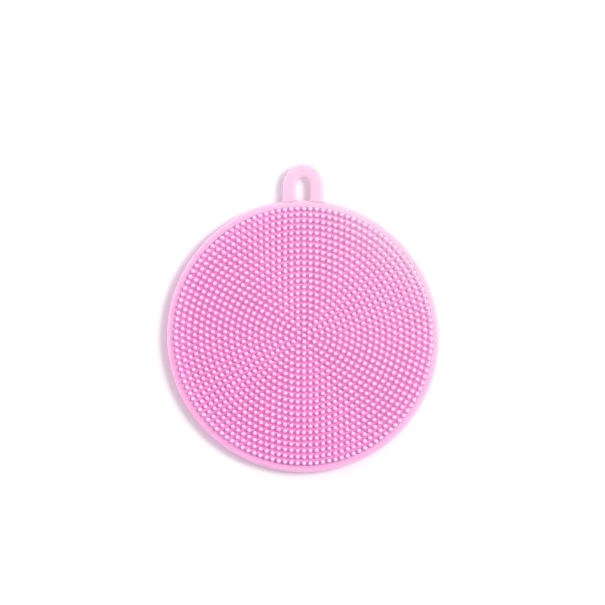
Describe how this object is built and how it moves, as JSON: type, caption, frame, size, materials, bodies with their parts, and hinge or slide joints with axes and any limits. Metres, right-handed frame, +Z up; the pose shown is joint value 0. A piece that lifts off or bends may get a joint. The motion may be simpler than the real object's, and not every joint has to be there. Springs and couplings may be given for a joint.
{
  "type": "silicone cleansing brush pad",
  "caption": "Round flexible silicone cleansing pad with short bristles on both faces, a smooth rim and a flat hang loop.",
  "frame": {"origin": "on the pad's axis, at the tips of the bristles it rests on", "axes": "+Z up, square to the pad; +Y towards the hang loop; +X to the right of it"},
  "size_m": [0.11, 0.1249, 0.0075],
  "materials": {
    "pink_silicone": "satin translucent moulded silicone"
  },
  "bodies": {
    "pad": {"web": "pink_silicone", "rim": "pink_silicone", "front_bristle_centre": "pink_silicone", "front_bristle_ring_01": "pink_silicone", "front_bristle_ring_02": "pink_silicone", "front_bristle_ring_03": "pink_silicone", "front_bristle_ring_04": "pink_silicone", "front_bristle_ring_05": "pink_silicone", "front_bristle_ring_06": "pink_silicone", "front_bristle_ring_07": "pink_silicone", "front_bristle_ring_08": "pink_silicone", "front_bristle_ring_09": "pink_silicone", "front_bristle_ring_10": "pink_silicone", "front_bristle_ring_11": "pink_silicone", "front_bristle_ring_12": "pink_silicone", "front_bristle_ring_13": "pink_silicone", "front_bristle_ring_14": "pink_silicone", "front_bristle_ring_15": "pink_silicone", "front_bristle_ring_16": "pink_silicone", "front_bristle_ring_17": "pink_silicone", "front_bristle_ring_18": "pink_silicone", "front_bristle_ring_19": "pink_silicone", "front_bristle_ring_20": "pink_silicone", "front_bristle_ring_21": "pink_silicone", "back_bristle_centre": "pink_silicone", "back_bristle_ring_01": "pink_silicone", "back_bristle_ring_02": "pink_silicone", "back_bristle_ring_03": "pink_silicone", "back_bristle_ring_04": "pink_silicone", "back_bristle_ring_05": "pink_silicone", "back_bristle_ring_06": "pink_silicone", "back_bristle_ring_07": "pink_silicone", "back_bristle_ring_08": "pink_silicone", "back_bristle_ring_09": "pink_silicone", "back_bristle_ring_10": "pink_silicone", "back_bristle_ring_11": "pink_silicone", "back_bristle_ring_12": "pink_silicone", "back_bristle_ring_13": "pink_silicone", "back_bristle_ring_14": "pink_silicone", "back_bristle_ring_15": "pink_silicone", "back_bristle_ring_16": "pink_silicone", "back_bristle_ring_17": "pink_silicone", "back_bristle_ring_18": "pink_silicone", "back_bristle_ring_19": "pink_silicone", "back_bristle_ring_20": "pink_silicone", "back_bristle_ring_21": "pink_silicone"},
    "loop": {"hang_loop": "pink_silicone"}
  },
  "joints": [
    {"name": "loop_flex", "type": "hinge", "parent": "pad", "child": "loop", "pos_m": [0, 0.05655, 0.00375], "axis": [1, 0, 0], "range_deg": [-60, 60], "stiffness_Nm_per_rad": 0.005}
  ]
}
